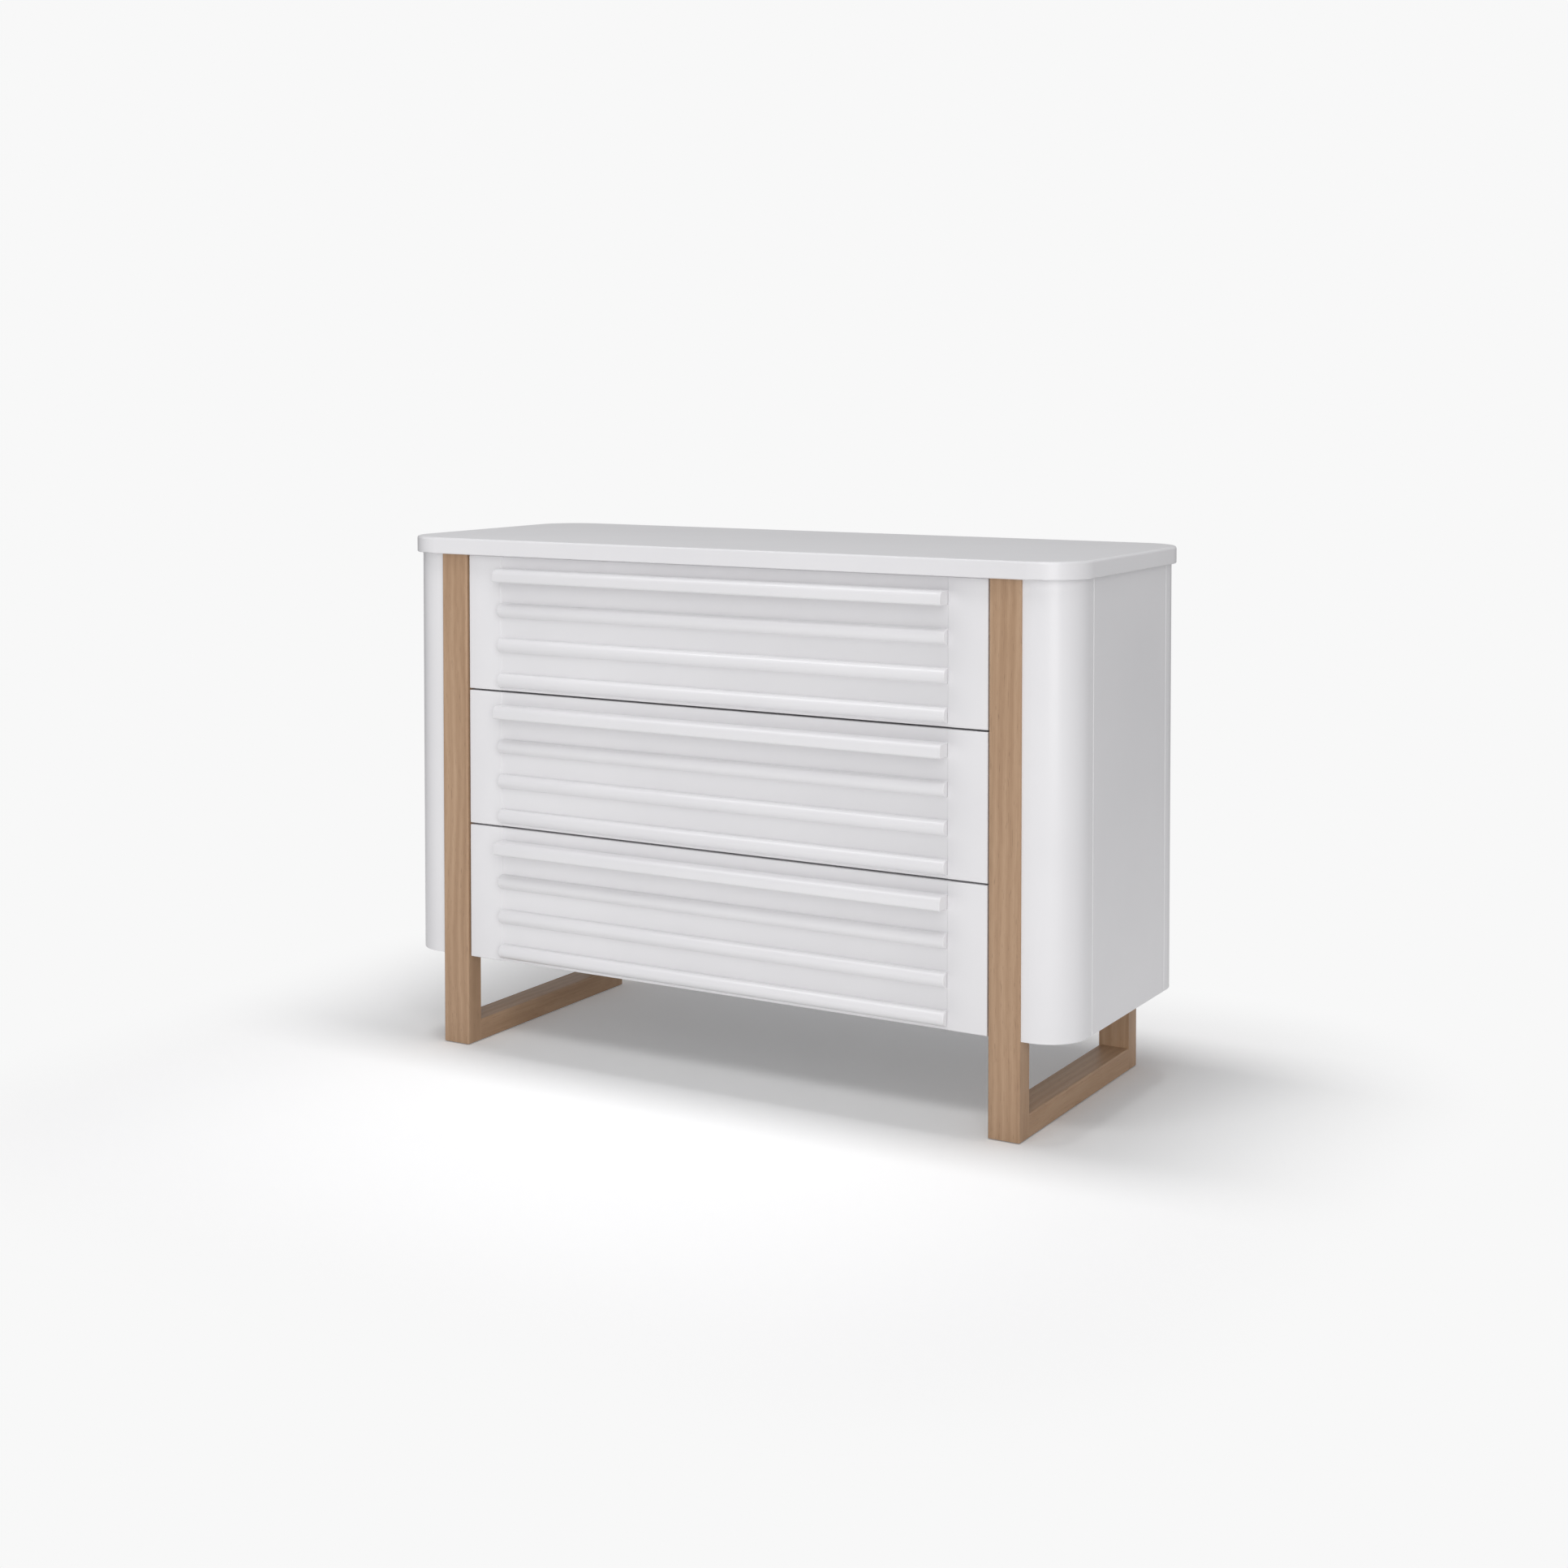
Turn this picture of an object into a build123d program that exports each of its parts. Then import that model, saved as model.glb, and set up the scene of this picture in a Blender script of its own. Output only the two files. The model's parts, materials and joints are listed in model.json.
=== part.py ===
"""A three-drawer changing table: a white lacquered chest on two timber leg frames.

Millimetres. +Z is up, the drawers open towards -Y, and the origin is on the floor under the
centre of the object's overall box.
"""
from build123d import *
import os

# ---------------------------------------------------------------- driving dimensions
# heights, from the floor up
LEG_CLEARANCE = 155.0          # floor to the underside of the case
FRONT_HEIGHT = 230.0           # one drawer front
DRAWER_GAP = 3.0               # between two drawer fronts, and beside each of them
TOP_GAP = 1.0                  # above the top drawer front
TOP_THICKNESS = 28.0

# plan sizes
CASE_WIDTH = 1254.0            # outside the two side panels
CASE_DEPTH = 464.0             # drawer-front plane to the outside of the back
CASE_RADIUS = 66.0             # outside radius of the four upright corners
TOP_FRONT_OVERHANG = 13.0
TOP_SIDE_OVERHANG = 8.0
TOP_BACK_OVERHANG = 10.0
TOP_EDGE_ROUND = 4.0           # upper edge of the top
TOP_LOWER_ROUND = 2.0
PANEL = 18.0                   # corner and side panels
CORNER_FACE_RUN = 13.0         # flat stretch of a corner piece between its curve and the post
CORNER_FRONT_RUN = 20.0        # flat stretch of a front corner piece along the side
CORNER_REAR_RUN = 12.0
SEAM_EASE = 1.2                # eased edges where two panels meet

# leg frames
POST_WIDTH = 53.0
POST_DEPTH = 35.0
POST_REVEAL = 4.0              # posts stand proud of the drawer fronts by this much
POST_ROUND = 3.0
RAIL_HEIGHT = 35.5
RAIL_ROUND = 3.0
DOWEL_RADIUS = 4.0
DOWEL_LENGTH = 36.0
DOWEL_SPACING = 26.0
GLIDE_RADIUS = 13.0
GLIDE_PROJECTION = 1.5         # nylon glides lift the timber off the floor
GLIDE_PIN_RADIUS = 2.0
GLIDE_PIN_LENGTH = 14.0

# inner boards of the case
GABLE = 16.0
BOTTOM = 16.0
BACK = 8.0
STRETCHER_THICKNESS = 18.0
STRETCHER_WIDTH = 80.0

# drawer fronts and their half-round beads
FRONT_THICKNESS = 19.0
FRONT_EDGE_ROUND = 2.0
FIELD_MARGIN = 68.0            # plain border at each end of the beaded field
FIELD_RECESS = 1.5
FIRST_BEAD_DROP = 32.0         # top edge of the front to the middle of the pull
LAST_BEAD_RISE = 18.0          # lower edge of the front to the middle of the lowest rib
PULL_HEIGHT = 22.0
PULL_PROJECTION = 26.0
PULL_NOSE_ROUND = 10.0
PULL_UNDER_ROUND = 4.0
RIB_HEIGHT = 24.0
RIB_PROJECTION = 13.0
RIB_COUNT = 3
RIB_END_ROUND = 1.0

# drawer boxes
BOX_WALL = 12.0
BOX_BOTTOM = 6.0
BOX_LIFT = 26.0                # underside of the box above the lower edge of its front
BOX_TOP_DROP = 46.0            # top of the box below the upper edge of its front
BOX_REAR_GAP = 25.0            # between the box and the back panel
BOX_BOTTOM_SETUP = 10.0        # the bottom sheet sits this far above the wall's lower edge
GROOVE_DEPTH = 6.0
GROOVE_CLEARANCE = 0.1

# ball-bearing drawer slides, three members each
SLIDE_SPACE = 12.7             # between the box and the gable
SLIDE_HEIGHT = 45.0
SLIDE_SETBACK = 4.0            # front end of the slide behind the front of the box
SLIDE_REAR_GAP = 8.0           # rear end of the slide ahead of the rear of the box
SLIDE_SHEET = 1.2
SLIDE_BALL = 4.8               # ball track between the flanges of two members
SLIDE_PLAY = 0.5               # between the webs of two members
CABINET_FLANGE_GAP = 2.0       # between the cabinet member's flanges and the box
MIDDLE_FLANGE_GAP = 1.0

# fasteners
SCREW_RADIUS = 2.0
SCREW_HEAD_RADIUS = 4.0
SCREW_HEAD_HEIGHT = 2.4
SCREW_PLAY = 0.1
TOP_SCREW_BITE = 16.0
TOP_SCREW_SPREAD = 0.8         # outer screws, as a share of the stretcher's half length
FRONT_SCREW_BITE = 12.0
FRONT_SCREW_LOW = 45.0         # above the lower edge of the box front
FRONT_SCREW_HIGH = 30.0        # below its upper edge
CAM_RADIUS = 7.5
CAM_DEPTH = 12.0
CAM_SETBACK = 34.0
CAM_LIFT = 40.0                # above the lower edge of each drawer front
CAM_TOP_DROP = 30.0            # below the top, for the highest fitting
BOLT_RADIUS = 3.5
BOLT_BITE = 11.0
BACK_SCREW_LENGTH = 32.0
BACK_SCREW_COUNT = 5           # along the top edge, and again along the lower edge
BACK_SCREW_MARGIN = 40.0

BOARD_GAP = 1.0                # behind the drawer fronts, ahead of the case floor and stretcher

# ---------------------------------------------------------------- worked-out places
DRAWER_COUNT = 3
DRAWER_NAMES = ["bottom", "middle", "top"]

case_top = (
    LEG_CLEARANCE
    + DRAWER_COUNT * FRONT_HEIGHT
    + (DRAWER_COUNT - 1) * DRAWER_GAP
    + TOP_GAP
)
total_height = case_top + TOP_THICKNESS
pull_overreach = max(PULL_PROJECTION - TOP_FRONT_OVERHANG, 0.0)
top_depth = TOP_FRONT_OVERHANG + CASE_DEPTH + TOP_BACK_OVERHANG
overall_depth = pull_overreach + top_depth

top_back_y = overall_depth / 2
top_front_y = top_back_y - top_depth
case_back_y = top_back_y - TOP_BACK_OVERHANG
front_y = case_back_y - CASE_DEPTH            # plane of the drawer fronts
post_front_y = front_y - POST_REVEAL
post_back_y = case_back_y + POST_REVEAL

half_case = CASE_WIDTH / 2
corner_face = CASE_RADIUS + CORNER_FACE_RUN
corner_front_leg = CASE_RADIUS + CORNER_FRONT_RUN
corner_rear_leg = CASE_RADIUS + CORNER_REAR_RUN
half_posts = half_case - corner_face          # to the outside faces of the posts
half_opening = half_posts - POST_WIDTH        # between the posts
half_front = half_opening - DRAWER_GAP
half_field = half_front - FIELD_MARGIN
bead_pitch = (FRONT_HEIGHT - FIRST_BEAD_DROP - LAST_BEAD_RISE) / RIB_COUNT
side_inner_x = half_case - PANEL
behind_post_y = post_front_y + POST_DEPTH
before_rear_post_y = post_back_y - POST_DEPTH
front_inner_y = front_y + FRONT_THICKNESS
back_inner_y = case_back_y - BACK
half_box = half_opening - SLIDE_SPACE
box_front_y = front_inner_y
box_back_y = back_inner_y - BOX_REAR_GAP
box_height = FRONT_HEIGHT - BOX_LIFT - BOX_TOP_DROP
slide_front_y = box_front_y + SLIDE_SETBACK
slide_back_y = box_back_y - SLIDE_REAR_GAP
slide_mid_height = SLIDE_HEIGHT - 2 * (SLIDE_SHEET + SLIDE_BALL)
slide_inner_height = slide_mid_height - 2 * (SLIDE_SHEET + SLIDE_BALL)
inner_radius = CASE_RADIUS - PANEL
bottom_top_z = LEG_CLEARANCE + BOTTOM
stretcher_z = case_top - STRETCHER_THICKNESS

os.makedirs("parts", exist_ok=True)


# ---------------------------------------------------------------- small helpers
def block(x_low, x_high, y_low, y_high, z_low, z_high):
    """A rectangular board given by its two corners."""
    size = (x_high - x_low, y_high - y_low, z_high - z_low)
    middle = ((x_low + x_high) / 2, (y_low + y_high) / 2, (z_low + z_high) / 2)
    return Pos(*middle) * Box(*size)


def slab(outline, z_low, height):
    """A plan outline raised to a board."""
    return Pos(0, 0, z_low) * extrude(outline, amount=height)


def rounded_plan(half_width, y_low, y_high, radius):
    """A rectangle in plan with four equal round corners, centred on X."""
    shape = RectangleRounded(2 * half_width, y_high - y_low, radius)
    return Pos(0, (y_low + y_high) / 2) * shape


def plan_rectangle(x_low, x_high, y_low, y_high):
    shape = Rectangle(x_high - x_low, y_high - y_low)
    return Pos((x_low + x_high) / 2, (y_low + y_high) / 2) * shape


def rod(start, axis, radius, length):
    """A cylinder that starts at a point and runs along an axis."""
    plane = Plane(origin=start, z_dir=axis)
    return extrude(plane * Circle(radius), amount=length)


def screw(head_face, axis, length):
    """A flat-headed screw: its head's outer face, its direction and its full length."""
    head = rod(head_face, axis, SCREW_HEAD_RADIUS, SCREW_HEAD_HEIGHT)
    shank = rod(head_face, axis, SCREW_RADIUS, length)
    return head + shank


def screw_hole(head_face, axis, length):
    """The stepped hole that a screw sits in."""
    head = rod(head_face, axis, SCREW_HEAD_RADIUS + SCREW_PLAY, SCREW_HEAD_HEIGHT)
    shank = rod(head_face, axis, SCREW_RADIUS + SCREW_PLAY, length + 1)
    return head + shank


def mirrored(shape, mirror_x, mirror_y=False):
    """The same shape on the other side of the object."""
    if mirror_x:
        shape = mirror(shape, about=Plane.YZ)
    if mirror_y:
        depth_middle = Plane(origin=(0, (post_front_y + post_back_y) / 2, 0), z_dir=(0, 1, 0))
        shape = mirror(shape, about=depth_middle)
    return shape


def save(shapes, name):
    """Write one node; a list becomes a group of separate solids."""
    if isinstance(shapes, list):
        shape = Compound(children=[solid for item in shapes for solid in item.solids()])
    else:
        shape = shapes
    export_step(shape, f"parts/{name}.step")


# ---------------------------------------------------------------- fastener places
def top_screw_places():
    """Heads under the stretchers, screws up into the top."""
    front_line = front_inner_y + BOARD_GAP + STRETCHER_WIDTH / 2
    rear_line = back_inner_y - STRETCHER_WIDTH / 2
    reach = half_opening * TOP_SCREW_SPREAD
    for y in (front_line, rear_line):
        for x in (-reach, 0.0, reach):
            yield (x, y, stretcher_z)


def cam_heights():
    """Fittings up each gable edge: one below each drawer slide and one at the top."""
    for index in range(DRAWER_COUNT):
        yield front_base(index) + CAM_LIFT
    yield case_top - CAM_TOP_DROP


def dowel_places():
    """Two dowels in each rail end, starting inside the front post."""
    x_middle = half_opening + POST_WIDTH / 2
    z_middle = GLIDE_PROJECTION + RAIL_HEIGHT / 2
    for offset in (-DOWEL_SPACING / 2, DOWEL_SPACING / 2):
        yield (x_middle + offset, behind_post_y - DOWEL_LENGTH / 2, z_middle)


def back_screw_places():
    """Screws through the back into the rear stretcher and the case floor."""
    reach = half_opening - BACK_SCREW_MARGIN
    pitch = 2 * reach / (BACK_SCREW_COUNT - 1)
    for z in (LEG_CLEARANCE + BOTTOM / 2, case_top - STRETCHER_THICKNESS / 2):
        for step in range(BACK_SCREW_COUNT):
            yield (-reach + step * pitch, case_back_y, z)


def back_screw_holes():
    return [screw_hole(place, (0, -1, 0), BACK_SCREW_LENGTH) for place in back_screw_places()]


def front_screw_places(base_z):
    """Screws from inside the box into the drawer front."""
    box_low_z = base_z + BOX_LIFT
    for x in (-half_field, -half_field / 3, half_field / 3, half_field):
        for z in (box_low_z + FRONT_SCREW_LOW, box_low_z + box_height - FRONT_SCREW_HIGH):
            yield (x, box_front_y + BOX_WALL, z)


# ---------------------------------------------------------------- the case
def make_top():
    plan = rounded_plan(
        half_case + TOP_SIDE_OVERHANG,
        top_front_y,
        top_back_y,
        CASE_RADIUS + (TOP_FRONT_OVERHANG + TOP_SIDE_OVERHANG) / 2,
    )
    top = slab(plan, case_top, TOP_THICKNESS)
    top = fillet(top.faces().sort_by(Axis.Z)[-1].edges(), TOP_EDGE_ROUND)
    top = fillet(top.faces().sort_by(Axis.Z)[0].edges(), TOP_LOWER_ROUND)
    for place in top_screw_places():
        length = STRETCHER_THICKNESS + TOP_SCREW_BITE
        top -= screw_hole(place, (0, 0, 1), length)
    return top


def case_shell_plan():
    outer = rounded_plan(half_case, front_y, case_back_y, CASE_RADIUS)
    inner = rounded_plan(side_inner_x, front_y + PANEL, case_back_y - PANEL, inner_radius)
    return outer - inner


def make_corner(is_rear):
    """The right-hand corner piece: a curved panel from the post round to the side."""
    reach = corner_rear_leg if is_rear else corner_front_leg
    if is_rear:
        window = plan_rectangle(half_posts, half_case + 1, case_back_y - reach, case_back_y + 1)
    else:
        window = plan_rectangle(half_posts, half_case + 1, front_y - 1, front_y + reach)
    corner = slab(case_shell_plan() & window, LEG_CLEARANCE, case_top - LEG_CLEARANCE)
    seam_edges = corner.edges().filter_by(Axis.Z).group_by(Axis.Y)[0 if is_rear else -1]
    return chamfer(seam_edges.sort_by(Axis.X)[-1], SEAM_EASE)


def make_side():
    side = block(
        side_inner_x,
        half_case,
        front_y + corner_front_leg,
        case_back_y - corner_rear_leg,
        LEG_CLEARANCE,
        case_top,
    )
    outer_edges = side.faces().sort_by(Axis.X)[-1].edges().filter_by(Axis.Z)
    return chamfer(outer_edges, SEAM_EASE)


def make_gable():
    gable = block(
        half_opening,
        half_opening + GABLE,
        behind_post_y,
        before_rear_post_y,
        bottom_top_z,
        case_top,
    )
    for z in cam_heights():
        for y, direction in ((behind_post_y, 1), (before_rear_post_y, -1)):
            gable -= cam_pocket(y, direction, z)
            gable -= bolt_hole(y, direction, z)
    return gable


def cam_pocket(edge_y, direction, z):
    centre = (half_opening, edge_y + direction * CAM_SETBACK, z)
    return rod(centre, (1, 0, 0), CAM_RADIUS + SCREW_PLAY, CAM_DEPTH + SCREW_PLAY)


def bolt_hole(edge_y, direction, z):
    start = (half_opening + GABLE / 2, edge_y - direction * (BOLT_BITE + 1), z)
    return rod(start, (0, direction, 0), BOLT_RADIUS + SCREW_PLAY, BOLT_BITE + 1 + CAM_SETBACK)


def make_cam(edge_y, direction, z):
    centre = (half_opening + SCREW_PLAY, edge_y + direction * CAM_SETBACK, z)
    return rod(centre, (1, 0, 0), CAM_RADIUS, CAM_DEPTH - SCREW_PLAY)


def make_bolt(edge_y, direction, z):
    start = (half_opening + GABLE / 2, edge_y - direction * BOLT_BITE, z)
    length = BOLT_BITE + CAM_SETBACK - CAM_RADIUS - SCREW_PLAY
    return rod(start, (0, direction, 0), BOLT_RADIUS, length)


def make_bottom():
    """The case floor: it fills the plan between the panels and reaches forward between posts."""
    inner_plan = rounded_plan(side_inner_x, front_y + PANEL, case_back_y - PANEL, inner_radius)
    between_posts = plan_rectangle(
        -side_inner_x, side_inner_x, behind_post_y, before_rear_post_y
    )
    tongue = plan_rectangle(
        -half_opening, half_opening, front_inner_y + BOARD_GAP, back_inner_y
    )
    plan = (inner_plan & between_posts) + tongue
    return slab(plan, LEG_CLEARANCE, BOTTOM) - back_screw_holes()


def make_stretcher(is_rear):
    if is_rear:
        y_low = back_inner_y - STRETCHER_WIDTH
        y_high = back_inner_y
    else:
        y_low = front_inner_y + BOARD_GAP
        y_high = y_low + STRETCHER_WIDTH
    rail = block(-half_opening, half_opening, y_low, y_high, stretcher_z, case_top)
    for place in top_screw_places():
        if y_low < place[1] < y_high:
            rail -= screw_hole(place, (0, 0, 1), STRETCHER_THICKNESS)
    if is_rear:
        rail -= back_screw_holes()
    return rail


def make_back():
    board = block(-half_opening, half_opening, back_inner_y, case_back_y, LEG_CLEARANCE, case_top)
    return board - back_screw_holes()


# ---------------------------------------------------------------- the leg frames
def make_post():
    """The right front post, from its foot to the underside of the top."""
    post = block(
        half_opening, half_posts, post_front_y, behind_post_y, GLIDE_PROJECTION, case_top
    )
    post = fillet(post.edges().filter_by(Axis.Z).group_by(Axis.Y)[0], POST_ROUND)
    for place in dowel_places():
        post -= dowel_hole(place)
    for z in cam_heights():
        post -= bolt_hole(behind_post_y, 1, z)
    post -= glide_pin_hole()
    return post


def make_foot_rail():
    rail = block(
        half_opening,
        half_posts,
        behind_post_y,
        before_rear_post_y,
        GLIDE_PROJECTION,
        GLIDE_PROJECTION + RAIL_HEIGHT,
    )
    rail = fillet(rail.faces().sort_by(Axis.Z)[-1].edges().filter_by(Axis.Y), RAIL_ROUND)
    for place in dowel_places():
        hole = dowel_hole(place)
        rail -= hole
        rail -= mirrored(hole, False, True)
    return rail


def dowel_hole(place):
    x, y, z = place
    return rod((x, y - 1, z), (0, 1, 0), DOWEL_RADIUS + SCREW_PLAY, DOWEL_LENGTH + 2)


def glide_centre():
    return (half_opening + POST_WIDTH / 2, post_front_y + POST_DEPTH / 2)


def glide_pin_hole():
    x, y = glide_centre()
    depth = GLIDE_PROJECTION + GLIDE_PIN_LENGTH + 1
    return rod((x, y, 0), (0, 0, 1), GLIDE_PIN_RADIUS + SCREW_PLAY, depth)


def make_glide():
    """A nail-on nylon glide under one post."""
    x, y = glide_centre()
    disc = rod((x, y, 0), (0, 0, 1), GLIDE_RADIUS, GLIDE_PROJECTION)
    disc = chamfer(disc.faces().sort_by(Axis.Z)[0].edges(), GLIDE_PROJECTION / 3)
    pin = rod((x, y, 0), (0, 0, 1), GLIDE_PIN_RADIUS, GLIDE_PROJECTION + GLIDE_PIN_LENGTH)
    return disc + pin


# ---------------------------------------------------------------- the drawers
def front_base(index):
    return LEG_CLEARANCE + index * (FRONT_HEIGHT + DRAWER_GAP)


def bead_heights(base_z):
    """Middle heights of the pull and the ribs below it."""
    first = base_z + FRONT_HEIGHT - FIRST_BEAD_DROP
    return [first - step * bead_pitch for step in range(RIB_COUNT + 1)]


def front_board(x_low, x_high, y_face, base_z):
    """A stretch of a drawer front whose upper and lower face edges are rounded."""
    board = block(x_low, x_high, y_face, front_inner_y, base_z, base_z + FRONT_HEIGHT)
    face_edges = board.faces().sort_by(Axis.Y)[0].edges()
    return fillet(face_edges.filter_by(Axis.X), FRONT_EDGE_ROUND)


def make_front(base_z):
    """A board whose middle is set back a little, so that the beads stand in a shallow field."""
    margin = front_board(half_field, half_front, front_y, base_z)
    outer_edge = margin.faces().sort_by(Axis.X)[-1].edges().sort_by(Axis.Y)[0]
    margin = fillet(outer_edge, FRONT_EDGE_ROUND)
    front = front_board(-half_field, half_field, front_y + FIELD_RECESS, base_z)
    front += [margin, mirrored(margin, True)]
    length = BOX_WALL + FRONT_SCREW_BITE
    return front - [screw_hole(place, (0, -1, 0), length) for place in front_screw_places(base_z)]


def make_pull(base_z):
    """The topmost bead: deep, with a round nose and a flatter underside for the fingers."""
    z = bead_heights(base_z)[0]
    bar = block(
        -half_field,
        half_field,
        front_y - PULL_PROJECTION,
        front_y + FIELD_RECESS,
        z - PULL_HEIGHT / 2,
        z + PULL_HEIGHT / 2,
    )
    nose_edges = bar.edges().filter_by(Axis.X).group_by(Axis.Y)[0].sort_by(Axis.Z)
    bar = fillet(nose_edges[-1], PULL_NOSE_ROUND)
    lower_edge = bar.edges().filter_by(Axis.X).group_by(Axis.Z)[0].sort_by(Axis.Y)[0]
    return fillet(lower_edge, PULL_UNDER_ROUND)


def make_rib(z):
    """A half-round bead glued into the field, with lightly softened ends."""
    seat_y = front_y + FIELD_RECESS
    spring_y = min(seat_y, front_y - RIB_PROJECTION + RIB_HEIGHT / 2)
    low = (seat_y, z - RIB_HEIGHT / 2)
    low_spring = (spring_y, z - RIB_HEIGHT / 2)
    crown = (front_y - RIB_PROJECTION, z)
    high_spring = (spring_y, z + RIB_HEIGHT / 2)
    high = (seat_y, z + RIB_HEIGHT / 2)
    outline = Line(low, low_spring)
    outline += ThreePointArc(low_spring, crown, high_spring)
    outline += Polyline(high_spring, high, low)
    plane = Plane(origin=(-half_field, 0, 0), x_dir=(0, 1, 0), z_dir=(1, 0, 0))
    rib = extrude(plane * make_face(outline), amount=2 * half_field)
    arc_edges = rib.edges().filter_by(GeomType.CIRCLE)
    return fillet(arc_edges, RIB_END_ROUND)


def make_box_side(base_z):
    """The right-hand wall of a drawer box, grooved for the bottom sheet."""
    z = base_z + BOX_LIFT
    wall = block(half_box - BOX_WALL, half_box, box_front_y, box_back_y, z, z + box_height)
    return wall - bottom_groove(z)


def bottom_groove(box_z):
    z = box_z + BOX_BOTTOM_SETUP
    reach = half_box - BOX_WALL + GROOVE_DEPTH
    return block(
        -reach,
        reach,
        box_front_y + BOX_WALL - GROOVE_DEPTH,
        box_back_y + 1,
        z - GROOVE_CLEARANCE,
        z + BOX_BOTTOM + GROOVE_CLEARANCE,
    )


def make_box_front(base_z):
    z = base_z + BOX_LIFT
    x = half_box - BOX_WALL
    board = block(-x, x, box_front_y, box_front_y + BOX_WALL, z, z + box_height)
    board -= bottom_groove(z)
    for place in front_screw_places(base_z):
        board -= screw_hole(place, (0, -1, 0), BOX_WALL)
    return board


def make_box_back(base_z):
    """The back board stands on the bottom sheet, which runs out under it."""
    z = base_z + BOX_LIFT
    x = half_box - BOX_WALL
    lower = z + BOX_BOTTOM_SETUP + BOX_BOTTOM
    return block(-x, x, box_back_y - BOX_WALL, box_back_y, lower, z + box_height)


def make_box_bottom(base_z):
    z = base_z + BOX_LIFT + BOX_BOTTOM_SETUP
    reach = half_box - BOX_WALL + GROOVE_DEPTH - GROOVE_CLEARANCE
    y_low = box_front_y + BOX_WALL - GROOVE_DEPTH + GROOVE_CLEARANCE
    return block(-reach, reach, y_low, box_back_y, z, z + BOX_BOTTOM)


# ---------------------------------------------------------------- drawer slides
def slide_height(base_z):
    return base_z + BOX_LIFT + box_height / 2


def channel(outer_x, inner_x, height, z):
    """A sheet-steel channel whose web is at outer_x and whose flanges point to inner_x."""
    x_low = min(outer_x, inner_x)
    x_high = max(outer_x, inner_x)
    envelope = block(x_low, x_high, slide_front_y, slide_back_y, z - height / 2, z + height / 2)
    toward_flanges = SLIDE_SHEET if inner_x > outer_x else -SLIDE_SHEET
    hollow = block(
        x_low + toward_flanges,
        x_high + toward_flanges,
        slide_front_y - 1,
        slide_back_y + 1,
        z - height / 2 + SLIDE_SHEET,
        z + height / 2 - SLIDE_SHEET,
    )
    return envelope - hollow


def make_cabinet_member(base_z):
    """Fixed to the right-hand gable."""
    inner = half_box + CABINET_FLANGE_GAP
    return channel(half_opening, inner, SLIDE_HEIGHT, slide_height(base_z))


def make_middle_member(base_z):
    """Rides inside the cabinet member at half the drawer's speed."""
    outer = half_opening - SLIDE_SHEET - SLIDE_PLAY
    inner = half_box + MIDDLE_FLANGE_GAP
    return channel(outer, inner, slide_mid_height, slide_height(base_z))


def make_drawer_member(base_z):
    """Fixed to the right-hand wall of the drawer box."""
    flange_reach = half_opening - 2 * (SLIDE_SHEET + SLIDE_PLAY)
    return channel(half_box, flange_reach, slide_inner_height, slide_height(base_z))


# ---------------------------------------------------------------- write every node
save(make_top(), "top_panel")
save(make_bottom(), "bottom_panel")
save(make_back(), "back_panel")
save(make_stretcher(False), "front_stretcher")
save(make_stretcher(True), "rear_stretcher")

for side_name, is_left in (("left", True), ("right", False)):
    save(mirrored(make_corner(False), is_left), f"front_{side_name}_corner_panel")
    save(mirrored(make_corner(True), is_left), f"rear_{side_name}_corner_panel")
    save(mirrored(make_side(), is_left), f"{side_name}_side_panel")
    save(mirrored(make_gable(), is_left), f"{side_name}_inner_gable")
    save(mirrored(make_post(), is_left), f"front_{side_name}_post")
    save(mirrored(make_post(), is_left, True), f"rear_{side_name}_post")
    save(mirrored(make_foot_rail(), is_left), f"{side_name}_foot_rail")

frame_corners = [(left, rear) for left in (False, True) for rear in (False, True)]


def at_every_corner(shapes):
    """Copies of right front pieces at all four posts."""
    return [mirrored(shape, left, rear) for shape in shapes for left, rear in frame_corners]


dowels = [rod(place, (0, 1, 0), DOWEL_RADIUS, DOWEL_LENGTH) for place in dowel_places()]
cams = [make_cam(behind_post_y, 1, z) for z in cam_heights()]
bolts = [make_bolt(behind_post_y, 1, z) for z in cam_heights()]
save(at_every_corner([make_glide()]), "foot_glides")
save(at_every_corner(dowels), "rail_dowels")
save(at_every_corner(cams), "cam_locks")
save(at_every_corner(bolts), "cam_bolts")

top_screw_length = STRETCHER_THICKNESS + TOP_SCREW_BITE
save([screw(place, (0, 0, 1), top_screw_length) for place in top_screw_places()], "top_screws")
back_screws = [screw(place, (0, -1, 0), BACK_SCREW_LENGTH) for place in back_screw_places()]
save(back_screws, "back_screws")

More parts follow.
